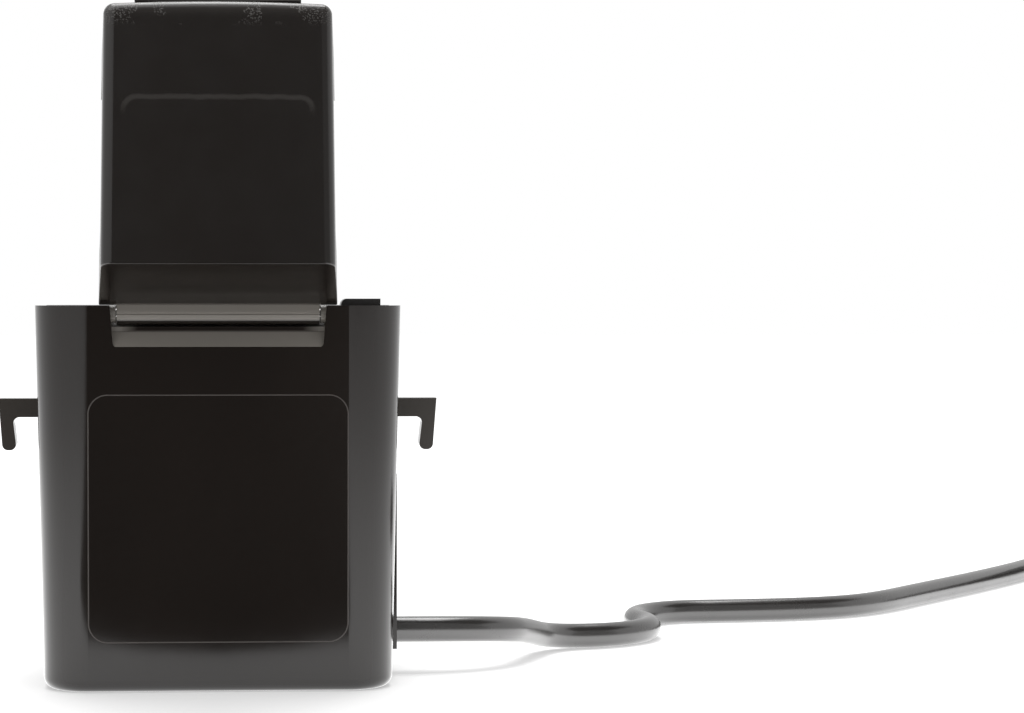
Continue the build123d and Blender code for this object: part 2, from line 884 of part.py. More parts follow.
def tail_core_line(side):
    """One insulated wire's line from the jacket's end, spreading and sinking to the surface."""
    end, heading, left = tail_frame()
    start = cord_core_diameter / 2 + fit_gap / 2
    spread = tail_core_length * tail_core_spread_share
    drop = cord_radius - ferrule_collar_radius - fit_gap / 2
    points = []
    for length_share, spread_share, drop_share in tail_core_stations_share:
        offset = side * (start + spread * spread_share)
        rise = Vector(0, 0, -drop * drop_share)
        points.append(end + heading * tail_core_length * length_share + left * offset + rise)
    return points


def tail_cores():
    """The two insulated wires beyond the jacket."""
    solids = []
    for side in (-1, 1):
        path = FilletPolyline(*tail_core_line(side), radius=tail_core_length / 3)
        solids.append(tube(path, cord_core_diameter / 2))
    return Compound(children=solids)


def wire_ferrules():
    """A crimped ferrule on each wire: a collar and a thin sleeve."""
    solids = []
    for side in (-1, 1):
        line = tail_core_line(side)
        way = (line[-1] - line[-2]).normalized()
        collar = Cylinder(ferrule_collar_radius, ferrule_collar_length)
        sleeve = Cylinder(ferrule_radius, ferrule_length)
        piece = Pos(0, 0, ferrule_collar_length / 2) * collar
        piece += Pos(0, 0, ferrule_collar_length + ferrule_length / 2) * sleeve
        solids.append(Plane(origin=line[-1], z_dir=way) * piece)
    return Compound(children=solids)


parts = {}
parts["case_body"] = case_body()
parts["top_cover"] = top_cover()
parts["hinge_pin"] = hinge_pin()
parts["shoulder_plug"] = shoulder_plug()
parts["lower_core_front"] = core_half(-1)
parts["lower_core_rear"] = core_half(1)
parts["coil_former"] = coil_former()
parts["secondary_winding"] = secondary_winding()
parts["winding_tape"] = winding_tape()
parts["burden_board"] = burden_board()
parts["burden_resistors"] = burden_resistors()
parts["clamp_diodes"] = clamp_diodes()
parts["winding_leads"] = winding_leads()
parts["cable_grommet"] = cable_grommet()
parts["cable_clamp"] = cable_clamp()
parts["cable_inner_end"] = cable_inner_end()
parts["cable_cores"] = cable_cores()
parts["lid_shell"] = opened(lid_shell())
parts["lid_liner"] = opened(lid_liner())
parts["upper_core"] = opened(upper_core())
parts["core_spring"] = opened(core_spring())
parts["latch_clip"] = opened(latch_clip())
parts["cord_lead"] = tube(cord_path(cord_route), cord_radius)
line = coil_path()
print("coil length", round(line.length, 1), "least gap to itself", round(coil_gap(line), 2))
parts["cord_coil"] = tube(line, cord_radius)
parts["coil_tie"] = coil_tie()
parts["cord_tail"] = tube(cord_path(tail_route), cord_radius)
parts["tail_cores"] = tail_cores()
parts["wire_ferrules"] = wire_ferrules()

for name, solid in parts.items():
    export_step(solid, f"parts/{name}.step")
    print(name, round(solid.volume, 1), len(solid.solids()))
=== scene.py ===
"""Dresses an open split-core current sensor: glossy case and lid, core faces and signal cord."""

import logging
import math
from dataclasses import dataclass, field, replace
from enum import Enum

import bmesh
import bpy
import numpy as np
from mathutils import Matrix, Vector


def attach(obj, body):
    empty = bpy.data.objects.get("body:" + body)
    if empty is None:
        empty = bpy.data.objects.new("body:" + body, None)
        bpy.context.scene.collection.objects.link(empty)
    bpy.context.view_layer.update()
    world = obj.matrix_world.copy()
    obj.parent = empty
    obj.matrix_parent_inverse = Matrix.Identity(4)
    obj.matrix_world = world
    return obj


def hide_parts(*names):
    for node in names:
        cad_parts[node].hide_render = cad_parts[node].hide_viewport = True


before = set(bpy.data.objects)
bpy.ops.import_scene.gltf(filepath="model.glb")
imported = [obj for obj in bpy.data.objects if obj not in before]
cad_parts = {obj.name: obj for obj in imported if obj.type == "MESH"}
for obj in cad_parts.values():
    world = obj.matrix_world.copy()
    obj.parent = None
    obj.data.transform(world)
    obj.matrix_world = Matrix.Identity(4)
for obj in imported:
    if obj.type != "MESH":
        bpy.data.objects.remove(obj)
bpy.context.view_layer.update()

log = logging.getLogger("current_sensor")

MM = 0.001

# The photograph's frame, in pixels, and what its geometry gives
IMAGE_WIDTH = 1024.0
IMAGE_HEIGHT = 713.0
PRINCIPAL_X = 218.3  # above the case's middle
HORIZON_Y = 300.0
FOCAL_PIXELS = 2752.0
SENSOR_WIDTH = 36.0
CAMERA_SHIFT_X = 0.15
CAMERA_FROM_FRONT = 400.0 * MM
CAMERA_HEIGHT = 57.3 * MM

# The cord's route in metres, from the outlet to the coil and from the coil to its stripped end
CORD_RADIUS = 2.0 * MM
CORD_ROUTE = [
    (0.0270, 0.0000, 0.0065),
    (0.0360, 0.0000, 0.0065),
    (0.0450, 0.0052, 0.0058),
    (0.0490, 0.0135, 0.0046),
    (0.0540, 0.0248, 0.0022),
    (0.0664, 0.0280, 0.0020),
    (0.0742, 0.0384, 0.0020),
    (0.0708, 0.0511, 0.0020),
    (0.0786, 0.0615, 0.0020),
    (0.0930, 0.0626, 0.0020),
    (0.1070, 0.0650, 0.0020),
    (0.1185, 0.0715, 0.0020),
    (0.1320, 0.0890, 0.0020),
    (0.1470, 0.1080, 0.0020),
    (0.1600, 0.1258, 0.0020),
    (0.1670, 0.1365, 0.0020),
    (0.1755, 0.1470, 0.0023),
    (0.1840, 0.15196, 0.0025),
]
TAIL_ROUTE = [
    (0.2090, 0.15188, 0.0070),
    (0.2195, 0.1490, 0.0052),
    (0.2300, 0.1405, 0.0024),
    (0.2365, 0.1280, 0.0020),
    (0.2385, 0.1160, 0.0020),
]
COIL_MIDDLE = (0.198, 0.124)
COIL_RADIUS = 27.6 * MM
COIL_PITCH = 4.5 * MM
COIL_LAYER = 4.5 * MM
COIL_FLOOR = 2.5 * MM
COIL_TURNS = 2.25
COIL_CLIMB = 0.5  # turns
COIL_POINTS_PER_TURN = 16

# The case's rim and the lid's pin, in metres
RIM_HALF_DEPTH = 23.0 * MM
CASE_HEIGHT = 56.5 * MM
CASE_DRAFT = math.radians(1.26)
HINGE_PIN = (0.0, -20.9 * MM, 55.3 * MM)
OPEN_ANGLE = math.radians(72.0)

# The Mix node's sockets when it mixes colours
MIX_FACTOR, MIX_FIRST, MIX_SECOND, MIX_RESULT = 0, 6, 7, 2

# The texture that all finishes share
PER_METRE = 1000.0  # divided by a size in millimetres, it gives a texture's scale
STRETCH = (1.0, 1.0, 0.45)  # the slow tint runs longer upwards
CLOUD_SIZE = 5.0 * MM
CLOUD_SHARE = 0.7  # of the gloss; the grain has the rest
GRAIN_SHARE = 0.3
DUST_SIZE = 0.22 * MM
DUST_LEAST = 0.80
CABLE_DUST = 0.5

# The edges of the core's rolled strips
STRIP_PITCH = 0.46 * MM
STRIP_SHARPNESS = 6.0
STRIP_SHARE = 0.6
STRIP_STEP = -0.02 * MM
STRIP_COLOUR = (0.10, 0.09, 0.085, 1.0)


class Family(Enum):
    """What kind of surface a finish belongs to."""

    GLOSS_MOULDING = "gloss moulding"
    SATIN_MOULDING = "satin moulding"
    METAL = "metal"
    CABLE = "cable"


@dataclass(frozen=True)
class Zone:
    """A box of object coordinates, in metres.

    Args:
        low: its lowest corner.
        high: its highest corner.
        fade: how far its edges fade inwards, along X and along Z.
        share: how much of the painted highlight colour it takes.
    """

    low: tuple[float, float, float]
    high: tuple[float, float, float]
    fade: tuple[float, float] = (0.05 * MM, 0.35 * MM)
    share: float = 1.0


# Boxes painted paler on the case and cover round the scoop under the lid's knuckle: a painted
# highlight
SCOOP_PAINTED_HIGHLIGHTS = (
    Zone((-16.0 * MM, -22.8 * MM, 49.5 * MM), (16.0 * MM, -18.6 * MM, 52.9 * MM)),
    Zone(
        (-19.0 * MM, -22.8 * MM, 52.3 * MM), (-11.8 * MM, -18.6 * MM, 56.9 * MM),
        (2.8 * MM, 0.35 * MM), 0.85,
    ),
    Zone(
        (12.4 * MM, -22.8 * MM, 52.3 * MM), (19.0 * MM, -18.6 * MM, 56.9 * MM),
        (2.8 * MM, 0.35 * MM), 0.85,
    ),
)
# Boxes painted a little paler on the case's hooks: a painted highlight
HOOK_PAINTED_HIGHLIGHTS = (
    Zone((-34.0 * MM, -3.0 * MM, 30.0 * MM), (-26.7 * MM, 3.0 * MM, 44.0 * MM), share=0.21),
    Zone((26.7 * MM, -3.0 * MM, 30.0 * MM), (34.0 * MM, 3.0 * MM, 44.0 * MM), share=0.21),
)
# Boxes painted paler on the lid: its knuckle, and its left and right edges at the hinge end, the
# left more: painted highlights
LID_PAINTED_HIGHLIGHTS = (
    Zone((-15.0 * MM, -23.6 * MM, 54.25 * MM), (15.0 * MM, -20.3 * MM, 56.85 * MM)),
    Zone(
        (-18.4 * MM, -42.0 * MM, 57.2 * MM), (-15.4 * MM, -12.0 * MM, 62.6 * MM),
        (1.1 * MM, 0.5 * MM), 0.22,
    ),
    Zone(
        (15.4 * MM, -42.0 * MM, 57.2 * MM), (18.4 * MM, -12.0 * MM, 62.6 * MM),
        (1.1 * MM, 0.5 * MM), 0.18,
    ),
)
# The colour painted into those boxes as a highlight, and the duller roughness they take
PAINTED_HIGHLIGHT_COLOUR = (0.225, 0.208, 0.186, 1.0)
SATIN_ROUGHNESS = 0.42
DARK_WIRE = (0.012, 0.012, 0.012, 1.0)


@dataclass(frozen=True)
class Finish:
    """What one material of the sensor looks like.

    Args:
        name: the material's name.
        family: the kind of surface.
        colour: its main colour, linear.
        second: the colour that its slow variation leans to.
        roughness: the lowest and highest roughness.
        grain: size of the fine texture, in metres.
        bump: height of the fine texture, in metres.
        satin: the boxes whose surface is duller and painted paler, as a painted highlight.
        parting: a line, as X and Y shares and an offset, with the dark wire on one side of it.
        strips: whether the edges of rolled strips show as fine lines.
        opened: whether the piece turns with the lid, so that its lines are drawn as when closed.
        index: index of refraction.
    """

    name: str
    family: Family
    colour: tuple[float, float, float]
    second: tuple[float, float, float]
    roughness: tuple[float, float]
    grain: float = 0.35 * MM
    bump: float = 0.004 * MM
    satin: tuple[Zone, ...] = ()
    parting: tuple[float, float, float] | None = None
    strips: bool = False
    opened: bool = False
    index: float = 1.5


# Its satin boxes are painted highlights on the scoop and the hooks
CASE = Finish(
    "case_gloss", Family.GLOSS_MOULDING, (0.0165, 0.0125, 0.0103), (0.0120, 0.0094, 0.0080),
    (0.10, 0.17), 0.5 * MM, 0.0012 * MM, satin=(*SCOOP_PAINTED_HIGHLIGHTS, *HOOK_PAINTED_HIGHLIGHTS), index=1.42,
)
# Its satin boxes are painted highlights on the knuckle and the hinge-end edges
LID = Finish(
    "lid_gloss", Family.GLOSS_MOULDING, (0.0122, 0.0090, 0.0070), (0.0086, 0.0064, 0.0052),
    (0.20, 0.28), 0.5 * MM, 0.0012 * MM, satin=LID_PAINTED_HIGHLIGHTS, opened=True,
)
# The latch is painted a grey far paler than the lid: a painted highlight of the lit strip at its
# top
LATCH_PAINTED_PALE = Finish(
    "latch_painted_highlight", Family.SATIN_MOULDING, (0.055, 0.050, 0.045), (0.043, 0.039, 0.035),
    (0.32, 0.44), 0.3 * MM, 0.004 * MM,
)
# Its satin boxes are painted highlights round the scoop
COVER = Finish(
    "cover_satin", Family.SATIN_MOULDING, (0.018, 0.0155, 0.014), (0.013, 0.0115, 0.0105),
    (0.30, 0.42), 0.25 * MM, 0.006 * MM, satin=SCOOP_PAINTED_HIGHLIGHTS,
)
PLUG = Finish(
    "plug_satin", Family.SATIN_MOULDING, (0.020, 0.0170, 0.0155), (0.014, 0.0120, 0.0110),
    (0.26, 0.36), 0.25 * MM, 0.005 * MM,
)
FRAME_LINE = Finish(
    "frame_line", Family.SATIN_MOULDING, (0.062, 0.052, 0.046), (0.056, 0.048, 0.043),
    (0.35, 0.50), 0.6 * MM, 0.003 * MM,
)
POLE = Finish(
    "core_ground", Family.METAL, (0.40, 0.39, 0.38), (0.26, 0.25, 0.25),
    (0.28, 0.42), 0.12 * MM, 0.004 * MM, strips=True,
)
POLE_OPENED = replace(POLE, name="core_ground_lid", opened=True)
STEEL = Finish(
    "pin_drawn", Family.METAL, (0.56, 0.55, 0.54), (0.42, 0.41, 0.40),
    (0.22, 0.34), 0.15 * MM, 0.003 * MM,
)
TIN = Finish(
    "ferrule_tinned", Family.METAL, (0.70, 0.70, 0.69), (0.55, 0.55, 0.54),
    (0.25, 0.38), 0.2 * MM, 0.003 * MM,
)
COPPER = Finish(
    "winding_enamel", Family.METAL, (0.48, 0.19, 0.08), (0.36, 0.13, 0.05),
    (0.25, 0.36), 0.1 * MM, 0.01 * MM,
)
TAPE = Finish(
    "tape_film", Family.SATIN_MOULDING, (0.50, 0.33, 0.05), (0.42, 0.27, 0.04),
    (0.25, 0.36), 0.8 * MM, 0.01 * MM,
)
FORMER = Finish(
    "former_moulded", Family.SATIN_MOULDING, (0.55, 0.52, 0.45), (0.46, 0.43, 0.37),
    (0.35, 0.48), 0.3 * MM, 0.006 * MM,
)
BOARD = Finish(
    "board_mask", Family.SATIN_MOULDING, (0.012, 0.10, 0.035), (0.010, 0.075, 0.028),
    (0.25, 0.38), 0.3 * MM, 0.006 * MM,
)
CHIP = Finish(
    "chip_fired", Family.SATIN_MOULDING, (0.02, 0.02, 0.02), (0.03, 0.03, 0.03),
    (0.35, 0.5), 0.2 * MM, 0.004 * MM,
)
DIODE = Finish(
    "diode_glass", Family.GLOSS_MOULDING, (0.30, 0.06, 0.02), (0.22, 0.04, 0.015),
    (0.08, 0.14), 0.4 * MM, 0.001 * MM,
)
RUBBER = Finish(
    "grommet_rubber", Family.SATIN_MOULDING, (0.012, 0.012, 0.012), (0.018, 0.018, 0.018),
    (0.48, 0.62), 0.2 * MM, 0.008 * MM,
)
NYLON = Finish(
    "tie_nylon", Family.SATIN_MOULDING, (0.014, 0.014, 0.014), (0.020, 0.020, 0.020),
    (0.34, 0.46), 0.25 * MM, 0.006 * MM,
)
JACKET = Finish(
    "jacket_pvc", Family.CABLE, (0.020, 0.0175, 0.0165), (0.030, 0.027, 0.025),
    (0.20, 0.32), 0.3 * MM, 0.003 * MM, index=1.85,
)
INNER_WIRES = Finish(
    "insulation_inner", Family.CABLE, (0.62, 0.61, 0.58), (0.50, 0.49, 0.46),
    (0.34, 0.46), 0.3 * MM, 0.004 * MM, parting=(0.0, 1.0, 0.0),
)
TAIL_WIRES = replace(
    INNER_WIRES, name="insulation_tail", parting=(0.9864, 0.1644, -254.33 * MM)
)

NODE_FINISHES: dict[str, Finish] = {
    "case_body": CASE,
    "top_cover": COVER,
    "hinge_pin": STEEL,
    "shoulder_plug": PLUG,
    "lower_core_front": POLE,
    "lower_core_rear": POLE,
    "coil_former": FORMER,
    "secondary_winding": COPPER,
    "winding_tape": TAPE,
    "burden_board": BOARD,
    "burden_resistors": CHIP,
    "clamp_diodes": DIODE,
    "winding_leads": COPPER,
    "cable_grommet": RUBBER,
    "cable_clamp": NYLON,
    "cable_inner_end": JACKET,
    "cable_cores": INNER_WIRES,
    "lid_shell": LID,
    "lid_liner": COVER,
    "upper_core": POLE_OPENED,
    "core_spring": STEEL,
    "latch_clip": LATCH_PAINTED_PALE,
    "coil_tie": NYLON,
    "tail_cores": TAIL_WIRES,
    "wire_ferrules": TIN,
}


@dataclass(frozen=True)
class LidMarks:
    """The lid's scuffs, the band that grows paler towards its free end, and its sink line with a
    painted highlight along it, in the coordinates of the closed lid.
    """

    scuff_along: tuple[float, float] = (16.2 * MM, 19.6 * MM)  # from their start to the thickest
    scuff_across: tuple[float, float] = (7.0 * MM, 14.5 * MM)  # the same, off the lid's middle
    patch_size: float = 5.0 * MM
    patch_least: float = 0.57
    patch_gain: float = -0.27  # what the corners add to the least value
    fleck_size: float = 0.22 * MM
    fleck_least: float = 0.585
    fleck_share: float = 0.55
    fleck_dullness: float = 0.35
    fleck_colour: tuple[float, ...] = (0.21, 0.20, 0.19, 1.0)
    # Over this span the colour grows paler towards the lid's free end, to a power
    paling_along: tuple[float, float] = (17.4 * MM, 20.6 * MM)
    paling_power: float = 1.6
    paling_share: float = 0.7
    paling_colour: tuple[float, ...] = (0.080, 0.074, 0.068, 1.0)
    sink_middle: float = -7.1 * MM
    sink_half: tuple[float, float] = (13.4 * MM, 12.4 * MM)
    sink_corner: float = 2.0 * MM
    sink_width: float = 0.35 * MM
    sink_end: tuple[float, float] = (2.6 * MM, 4.6 * MM)  # where its sides fade out and in
    waver: float = 0.3 * MM
    waver_size: float = 2.2 * MM
    sink_share: float = 0.7
    sink_strength: float = 0.35
    sink_height: float = 0.03 * MM
    # The sink line's paler colour is a painted highlight; its shallow step in height is real
    sink_highlight_colour: tuple[float, ...] = (0.044, 0.040, 0.036, 1.0)


MARKS = LidMarks()


@dataclass
class NodeSheet:
    """Adds nodes to one node tree and links them, so that a material reads as a list of steps.

    Args:
        tree: the node tree that the nodes go into.
    """

    tree: bpy.types.NodeTree

    def add(self, kind: str, inputs: dict | None = None, **settings: object) -> bpy.types.Node:
        """Adds one node.

        Args:
            kind: the node's type name.
            inputs: values or sockets for its inputs, by name or number.
            settings: its properties.

        Returns:
            The new node.
        """
        node = self.tree.nodes.new(kind)
        for name, value in settings.items():
            setattr(node, name, value)
        for name, value in (inputs or {}).items():
            if isinstance(value, bpy.types.NodeSocket):
                self.tree.links.new(value, node.inputs[name])
            else:
                node.inputs[name].default_value = value
        return node

    def sum(self, operation: str, *values: object, clamp: bool = False) -> bpy.types.NodeSocket:
        """Adds a Math node over the values and returns its output."""
        inputs = dict(enumerate(values))
        node = self.add("ShaderNodeMath", inputs, operation=operation, use_clamp=clamp)
        return node.outputs[0]

    def noise(
        self, vector: bpy.types.NodeSocket, size: float, detail: float
    ) -> bpy.types.NodeSocket:
        """Adds a noise texture of a feature size in metres and returns its value."""
        inputs = {"Vector": vector, "Scale": 1.0 / size, "Detail": detail}
        return self.add("ShaderNodeTexNoise", inputs).outputs[0]

    def spread(self, value: object, low: object, high: object) -> bpy.types.NodeSocket:
        """Maps 0 to 1 onto low to high and returns the output."""
        inputs = {"Value": value, "To Min": low, "To Max": high}
        return self.add("ShaderNodeMapRange", inputs).outputs[0]

    def ramp(self, value: object, start: float, end: float) -> bpy.types.NodeSocket:
        """Goes from 0 at the start to 1 at the end, level beyond both, and returns the output."""
        inputs = {"Value": value, "From Min": start, "From Max": end}
        return self.add("ShaderNodeMapRange", inputs).outputs[0]

    def blend(self, factor: object, first: object, second: object) -> bpy.types.NodeSocket:
        """Mixes two colours and returns the result."""
        node = self.add("ShaderNodeMix", data_type="RGBA")
        for number, value in ((MIX_FACTOR, factor), (MIX_FIRST, first), (MIX_SECOND, second)):
            if isinstance(value, bpy.types.NodeSocket):
                self.tree.links.new(value, node.inputs[number])
            else:
                node.inputs[number].default_value = value
        return node.outputs[MIX_RESULT]


def new_group(name: str, inputs: dict[str, float], outputs: dict[str, str]) -> tuple:
    """Makes an empty shader node group.

    Args:
        name: the group's name.
        inputs: its value inputs with their defaults.
        outputs: its outputs, name to socket type.

    Returns:
        The group, a sheet on it, its input node and its output node.
    """
    group = bpy.data.node_groups.new(name, "ShaderNodeTree")
    for label, value in inputs.items():
        socket = group.interface.new_socket(label, in_out="INPUT", socket_type="NodeSocketFloat")
        socket.default_value = value
    for label, kind in outputs.items():
        group.interface.new_socket(label, in_out="OUTPUT", socket_type=kind)
    sheet = NodeSheet(group)
    return group, sheet, sheet.add("NodeGroupInput"), sheet.add("NodeGroupOutput")


def moulded_group() -> bpy.types.NodeTree:
    """Slow tint, cloudy gloss and fine height of a moulded or drawn surface.

    Returns:
        A group with Tint, Gloss and Height from 0 to 1.
    """
    values = {"Grain": 0.4, "Flow": 14.0, "Speck": 0.0}
    kinds = {"Tint": "NodeSocketFloat", "Gloss": "NodeSocketFloat", "Height": "NodeSocketFloat"}
    group, sheet, entry, leave = new_group("moulded_surface", values, kinds)
    place = sheet.add("ShaderNodeTexCoord").outputs["Object"]
    stretch = sheet.add("ShaderNodeMapping", {"Vector": place, "Scale": STRETCH})
    flow = sheet.add(
        "ShaderNodeTexNoise",
        {
            "Vector": stretch.outputs[0],
            "Scale": sheet.sum("DIVIDE", PER_METRE, entry.outputs["Flow"]),
            "Detail": 4.0,
        },
    ).outputs[0]
    grain = sheet.add(
        "ShaderNodeTexNoise",
        {
            "Vector": place,
            "Scale": sheet.sum("DIVIDE", PER_METRE, entry.outputs["Grain"]),
            "Detail": 2.0,
        },
    ).outputs[0]
    cloud = sheet.noise(place, CLOUD_SIZE, 5.0)
    dust = sheet.sum("GREATER_THAN", sheet.noise(place, DUST_SIZE, 0.0), DUST_LEAST)
    speck = sheet.sum("MULTIPLY", dust, entry.outputs["Speck"])
    fine = sheet.sum("MULTIPLY", grain, GRAIN_SHARE)
    gloss = sheet.sum("ADD", sheet.sum("MULTIPLY", cloud, CLOUD_SHARE), fine)
    tint = sheet.sum("ADD", flow, speck, clamp=True)
    for name, value in (("Tint", tint), ("Gloss", gloss), ("Height", grain)):
        sheet.tree.links.new(value, leave.inputs[name])
    return group


def framed_line_group() -> bpy.types.NodeTree:
    """A thin line round a rounded rectangle.

    The line is 1.5 less the distance to the outline over the width, held between 0 and 1.

    Returns:
        A group with a Line mask, from X and Y about the rectangle's middle.
    """
    values = {"X": 0.0, "Y": 0.0, "Half X": 0.01, "Half Y": 0.01, "Corner": 0.002, "Width": 0.0002}
    group, sheet, entry, leave = new_group("framed_line", values, {"Line": "NodeSocketFloat"})
    reach = []
    for axis in ("X", "Y"):
        size = sheet.sum("SUBTRACT", entry.outputs["Half " + axis], entry.outputs["Corner"])
        away = sheet.sum("ABSOLUTE", entry.outputs[axis])
        reach.append(sheet.sum("SUBTRACT", away, size))
    outside = [sheet.sum("MAXIMUM", value, 0.0) for value in reach]
    squares = [sheet.sum("MULTIPLY", value, value) for value in outside]
    radius = sheet.sum("SQRT", sheet.sum("ADD", squares[0], squares[1]))
    inside = sheet.sum("MINIMUM", sheet.sum("MAXIMUM", reach[0], reach[1]), 0.0)
    gap = sheet.sum("SUBTRACT", sheet.sum("ADD", radius, inside), entry.outputs["Corner"])
    share = sheet.sum("DIVIDE", sheet.sum("ABSOLUTE", gap), entry.outputs["Width"])
    line = sheet.sum("SUBTRACT", 1.5, share, clamp=True)
    sheet.tree.links.new(line, leave.inputs["Line"])
    return group


@dataclass
class FinishShop:
    """Makes one material for each finish, with the shared groups placed in it."""

    moulded: bpy.types.NodeTree = field(default_factory=moulded_group)
    framed: bpy.types.NodeTree = field(default_factory=framed_line_group)
    made: dict[str, bpy.types.Material] = field(default_factory=dict)

    def material(self, finish: Finish) -> bpy.types.Material:
        """Returns the finish's material, made on first use."""
        if finish.name not in self.made:
            self.made[finish.name] = self.build(finish)
        return self.made[finish.name]

    def build(self, finish: Finish) -> bpy.types.Material:
        """Builds a finish: tint and gloss vary slowly, and a fine height roughens the surface.

        Args:
            finish: the finish to build.

        Returns:
            The new material.
        """
        material = bpy.data.materials.new(finish.name)
        material.use_nodes = True
        sheet = NodeSheet(material.node_tree)
        shader = material.node_tree.nodes["Principled BSDF"]
        surface = sheet.add("ShaderNodeGroup", node_tree=self.moulded)
        surface.inputs["Grain"].default_value = finish.grain / MM
        dust = CABLE_DUST if finish.family == Family.CABLE else 0.0
        surface.inputs["Speck"].default_value = dust
        first = (*finish.colour, 1.0)
        second = (*finish.second, 1.0)
        colour = sheet.blend(surface.outputs["Tint"], first, second)
        roughness = sheet.spread(surface.outputs["Gloss"], *finish.roughness)
        bump = sheet.add(
            "ShaderNodeBump",
            {"Height": surface.outputs["Height"], "Strength": 1.0, "Distance": finish.bump},
        )
        # In the satin boxes the colour is painted paler as a painted highlight, and the surface is
        # dulled
        if finish.satin:
            mask = self.painted_highlight_mask(sheet, finish)
            colour = sheet.blend(mask, colour, PAINTED_HIGHLIGHT_COLOUR)
            dull = sheet.sum("MULTIPLY", mask, SATIN_ROUGHNESS)
            roughness = sheet.sum("MAXIMUM", roughness, dull)
        if finish.parting:
            colour = sheet.blend(self.parting_mask(sheet, finish.parting), colour, DARK_WIRE)
        if finish.strips:
            colour, bump = self.strip_lines(sheet, finish, colour, bump)
        if finish is LID:
            colour, roughness = self.scuffs(sheet, colour, roughness)
            colour, bump = self.sink_mark(sheet, colour, bump)
        links = material.node_tree.links
        links.new(colour, shader.inputs["Base Color"])
        links.new(roughness, shader.inputs["Roughness"])
        links.new(bump.outputs["Normal"], shader.inputs["Normal"])
        shader.inputs["Metallic"].default_value = 1.0 if finish.family == Family.METAL else 0.0
        shader.inputs["IOR"].default_value = finish.index
        return material

    def place(self, sheet: NodeSheet, opened: bool) -> bpy.types.NodeSocket:
        """Returns the object's coordinates, turned back about the pin where the piece is open."""
        place = sheet.add("ShaderNodeTexCoord").outputs["Object"]
        if not opened:
            return place
        about = sheet.add(
            "ShaderNodeMapping",
            {"Vector": place, "Location": HINGE_PIN, "Rotation": (OPEN_ANGLE, 0.0, 0.0)},
            vector_type="TEXTURE",
        )
        return sheet.add(
            "ShaderNodeVectorMath", {0: about.outputs[0], 1: HINGE_PIN}, operation="ADD"
        ).outputs[0]

    def painted_highlight_mask(self, sheet: NodeSheet, finish: Finish) -> bpy.types.NodeSocket:
        """Returns 1 inside the finish's boxes of painted highlight and 0 outside them, fading up
        and down.
        """
        parts = sheet.add("ShaderNodeSeparateXYZ", {0: self.place(sheet, False)})
        whole = None
        for zone in finish.satin:
            mask = zone.share
            for axis, fade in ((0, zone.fade[0]), (2, zone.fade[1])):
                spot = parts.outputs[axis]
                rise = sheet.sum("SUBTRACT", spot, zone.low[axis])
                fall = sheet.sum("SUBTRACT", zone.high[axis], spot)
                inner = sheet.sum("DIVIDE", sheet.sum("MINIMUM", rise, fall), fade, clamp=True)
                mask = sheet.sum("MULTIPLY", mask, inner)
            above = sheet.sum("GREATER_THAN", parts.outputs[1], zone.low[1])
            below = sheet.sum("LESS_THAN", parts.outputs[1], zone.high[1])
            mask = sheet.sum("MULTIPLY", mask, sheet.sum("MULTIPLY", above, below))
            whole = mask if whole is None else sheet.sum("MAXIMUM", whole, mask)
        return whole

    def parting_mask(self, sheet: NodeSheet, line: tuple) -> bpy.types.NodeSocket:
        """Returns 1 on the side of the line where the dark wire runs."""
        parts = sheet.add("ShaderNodeSeparateXYZ", {0: self.place(sheet, False)})
        across = sheet.sum("MULTIPLY", parts.outputs[0], line[0])
        along = sheet.sum("MULTIPLY_ADD", parts.outputs[1], line[1], across)
        return sheet.sum("GREATER_THAN", sheet.sum("ADD", along, line[2]), 0.0)

    def strip_lines(
        self, sheet: NodeSheet, finish: Finish, colour: object, fine: bpy.types.Node
    ) -> tuple:
        """Draws the edges of the core's rolled strips: thin dark lines with a slight step.

        A line is twice the distance from the middle of a strip, in pitches, to a high power.
        """
        parts = sheet.add("ShaderNodeSeparateXYZ", {0: self.place(sheet, finish.opened)})
        saw = sheet.sum("FRACT", sheet.sum("DIVIDE", parts.outputs[1], STRIP_PITCH))
        edge = sheet.sum("ABSOLUTE", sheet.sum("SUBTRACT", saw, 0.5))
        line = sheet.sum("MULTIPLY", edge, 2.0, clamp=True)
        sharp = sheet.sum("POWER", line, STRIP_SHARPNESS)
        dark = sheet.blend(sheet.sum("MULTIPLY", sharp, STRIP_SHARE), colour, STRIP_COLOUR)
        inputs = {
            "Height": sharp,
            "Strength": 0.5,
            "Distance": STRIP_STEP,
            "Normal": fine.outputs["Normal"],
        }
        return dark, sheet.add("ShaderNodeBump", inputs)

    def scuffs(self, sheet: NodeSheet, colour: object, roughness: object) -> tuple:
        """Adds the pale flecks of handling near the lid's free end, and a band that grows paler
        towards that end.
        """
        place = self.place(sheet, True)
        parts = sheet.add("ShaderNodeSeparateXYZ", {0: place})
        near = sheet.ramp(parts.outputs[1], *MARKS.scuff_along)
        corner = sheet.ramp(sheet.sum("ABSOLUTE", parts.outputs[0]), *MARKS.scuff_across)
        least = sheet.sum("MULTIPLY_ADD", corner, MARKS.patch_gain, MARKS.patch_least)
        patch = sheet.sum("GREATER_THAN", sheet.noise(place, MARKS.patch_size, 2.0), least)
        speckle = sheet.noise(place, MARKS.fleck_size, 1.0)
        fleck = sheet.sum("GREATER_THAN", speckle, MARKS.fleck_least)
        mask = sheet.sum("MULTIPLY", sheet.sum("MULTIPLY", near, patch), fleck)
        towards_end = sheet.ramp(parts.outputs[1], *MARKS.paling_along)
        towards_end = sheet.sum("POWER", towards_end, MARKS.paling_power)
        paling = sheet.sum("MULTIPLY", towards_end, MARKS.paling_share)
        ground = sheet.blend(paling, colour, MARKS.paling_colour)
        shown = sheet.sum("MULTIPLY", mask, MARKS.fleck_share)
        pale = sheet.blend(shown, ground, MARKS.fleck_colour)
        dull = sheet.sum("MULTIPLY", mask, MARKS.fleck_dullness)
        return pale, sheet.sum("ADD", roughness, dull)

